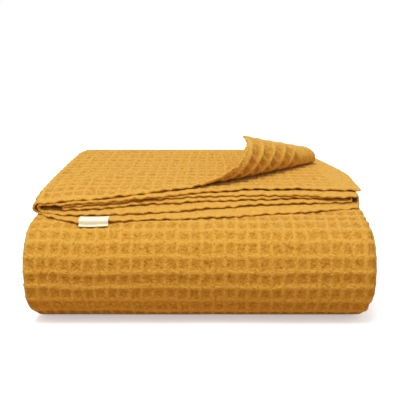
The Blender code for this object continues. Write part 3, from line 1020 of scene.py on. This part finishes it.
STITCH_LENGTH, STITCH_RADIUS, STITCH_STEP = 0.0021, 0.00026, 0.0030
STITCH_LIFT = 0.00005
wires = [
    hem_wire(FACE_A, 0.0, CLOTH_WIDTH - 0.003),
    hem_wire(BACK_A & (ring["x"] > 0.0), 0.0, CLOTH_WIDTH - 0.003),
    hem_wire(TOP_B & (ring["x"] > -0.02), 0.003, CLOTH_WIDTH),
    side_wire(FACE_A, 0.03, 0.99),
    side_wire(BACK_A, 0.03, 0.75),
    side_wire(TOP_B, 0.03, 0.90),
]


def stitch_group():
    tree = bpy.data.node_groups.new("hem_stitches", "GeometryNodeTree")
    sockets = tree.interface
    sockets.new_socket("Geometry", in_out="INPUT", socket_type="NodeSocketGeometry")
    for name in ("Length", "Radius", "Step"):
        sockets.new_socket(name, in_out="INPUT", socket_type="NodeSocketFloat")
    sockets.new_socket("Material", in_out="INPUT", socket_type="NodeSocketMaterial")
    sockets.new_socket("Geometry", in_out="OUTPUT", socket_type="NodeSocketGeometry")
    source = add_node(tree, "NodeGroupInput").outputs
    curve = add_node(tree, "GeometryNodeMeshToCurve", Mesh=source["Geometry"]).outputs[0]
    even = add_node(tree, "GeometryNodeResampleCurve", {"mode": "LENGTH"},
                    Curve=curve, Length=source["Step"]).outputs[0]
    ball = add_node(tree, "GeometryNodeMeshUVSphere", Segments=6, Rings=4,
                    Radius=source["Radius"]).outputs[0]
    tangent = add_node(tree, "GeometryNodeInputTangent").outputs[0]
    turn = add_node(tree, "FunctionNodeAlignRotationToVector", {"axis": "Z"},
                    Vector=tangent).outputs[0]
    stretch = math_node(tree, "DIVIDE", source["Length"], source["Radius"])
    scale = add_node(tree, "ShaderNodeCombineXYZ", X=1.0, Y=1.0,
                     Z=math_node(tree, "MULTIPLY", stretch, 0.5)).outputs[0]
    placed = add_node(tree, "GeometryNodeInstanceOnPoints", Points=even, Instance=ball,
                      Rotation=turn, Scale=scale).outputs[0]
    real = add_node(tree, "GeometryNodeRealizeInstances", Geometry=placed).outputs[0]
    done = add_node(tree, "GeometryNodeSetMaterial", Geometry=real,
                    Material=source["Material"]).outputs[0]
    add_node(tree, "NodeGroupOutput", Geometry=done)
    return tree


def make_stitches():
    mesh = bpy.data.meshes.new("hem_stitches")
    places = np.concatenate(wires) + np.array(PILE_SHIFT)
    edges, start = [], 0
    for wire in wires:
        edges += [(i, i + 1) for i in range(start, start + len(wire) - 1)]
        start += len(wire)
    mesh.from_pydata(places.tolist(), edges, [])
    thing = bpy.data.objects.new("hem_stitches", mesh)
    bpy.context.scene.collection.objects.link(thing)
    return apply_group(thing, stitch_group(), length=STITCH_LENGTH, radius=STITCH_RADIUS,
                       step=STITCH_STEP, material=cotton)


stitches = make_stitches()
stitches.data.shade_smooth()
print("stitches:", len(stitches.data.polygons), "faces")

# %% [markdown]
# ## Join the pieces to the imported model
#
# The blanket has no joints, so every piece rides on the root body.  Both pieces of cloth
# stand for the solid, which is hidden, and the new label stands for the imported one.

# %% Bodies, and the imported nodes that the pieces hide
for piece in (flap, body, stitches, label):
    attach(piece, "root")
for piece in (flap, body, stitches):
    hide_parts("blanket")
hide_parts("label")

# %% [markdown]
# ## Floor, lights and camera
#
# The blanket lies on a pale seamless floor in a light studio: one wide soft light above
# and in front, a weaker one from the left, and an even pale surrounding.


# %% Studio
def make_floor():
    mesh = bpy.data.meshes.new("floor")
    half = 60.0
    mesh.from_pydata([(-half, -half, 0), (half, -half, 0), (half, half, 0), (-half, half, 0)],
                     [], [(0, 1, 2, 3)])
    material, tree, shader = new_material("matt_white_floor")
    # The camera sees a white floor, but only a part of its light comes back to the cloth.
    seen = add_node(tree, "ShaderNodeLightPath").outputs["Is Camera Ray"]
    paint = add_node(tree, "ShaderNodeMix", {"data_type": "RGBA"}, Factor=seen,
                     _6=linear(FLOOR_BOUNCE), _7=linear("#FFFFFF")).outputs[2]
    tree.links.new(paint, shader.inputs["Base Color"])
    # A faint glow lifts the far floor to the white of the backdrop.
    shader.inputs["Emission Color"].default_value = linear("#FFFFFF")
    tree.links.new(math_node(tree, "MULTIPLY", seen, 1.0 - WORLD_STRENGTH),
                   shader.inputs["Emission Strength"])
    shader.inputs["Roughness"].default_value = 0.9
    mesh.materials.append(material)
    floor = bpy.data.objects.new("studio_floor", mesh)
    floor.location.z = -0.0002
    bpy.context.scene.collection.objects.link(floor)
    return floor


def area_light(name, place, target, size, power, colour="#FFFFFF"):
    light = bpy.data.lights.new(name, "AREA")
    light.shape = "DISK"
    light.size = size
    light.energy = power
    light.color = linear(colour)[:3]
    thing = bpy.data.objects.new(name, light)
    thing.location = place
    thing.rotation_euler = (Vector(target) - Vector(place)).to_track_quat("-Z", "Y").to_euler()
    bpy.context.scene.collection.objects.link(thing)
    return thing


PILE_MIDDLE = (0.0, 0.0, 0.08)
KEY_POWER, FILL_POWER, WORLD_STRENGTH = 23.5, 1.2, 0.58
FLOOR_BOUNCE = "#C0963A"     # what the cloth gets back from the floor
make_floor()
area_light("key", (-0.25, -0.55, 1.80), PILE_MIDDLE, 1.0, KEY_POWER)
area_light("fill", (0.9, -1.3, 0.8), PILE_MIDDLE, 1.2, FILL_POWER)
world = bpy.data.worlds.new("studio")
world.use_nodes = True
backdrop = world.node_tree.nodes["Background"]
seen = add_node(world.node_tree, "ShaderNodeLightPath").outputs["Is Camera Ray"]
strength = math_node(world.node_tree, "MULTIPLY_ADD", seen, 1.0 - WORLD_STRENGTH, WORLD_STRENGTH)
world.node_tree.links.new(strength, backdrop.inputs["Strength"])
backdrop.inputs["Color"].default_value = linear("#FFFFFF")
bpy.context.scene.world = world
bpy.context.scene.view_settings.view_transform = "Standard"

# %% Camera
lens = bpy.data.cameras.new("camera")
lens.lens = 63.0
lens.sensor_width = 36.0
lens.shift_x = -0.0375
camera = bpy.data.objects.new("camera", lens)
camera.location = (0.0151, -0.8399, 0.3188)
camera.rotation_euler = (math.radians(75.0), 0.0, 0.0)
bpy.context.scene.collection.objects.link(camera)
bpy.context.scene.camera = camera
print("camera", round(camera.location.length, 3), "m from the origin")
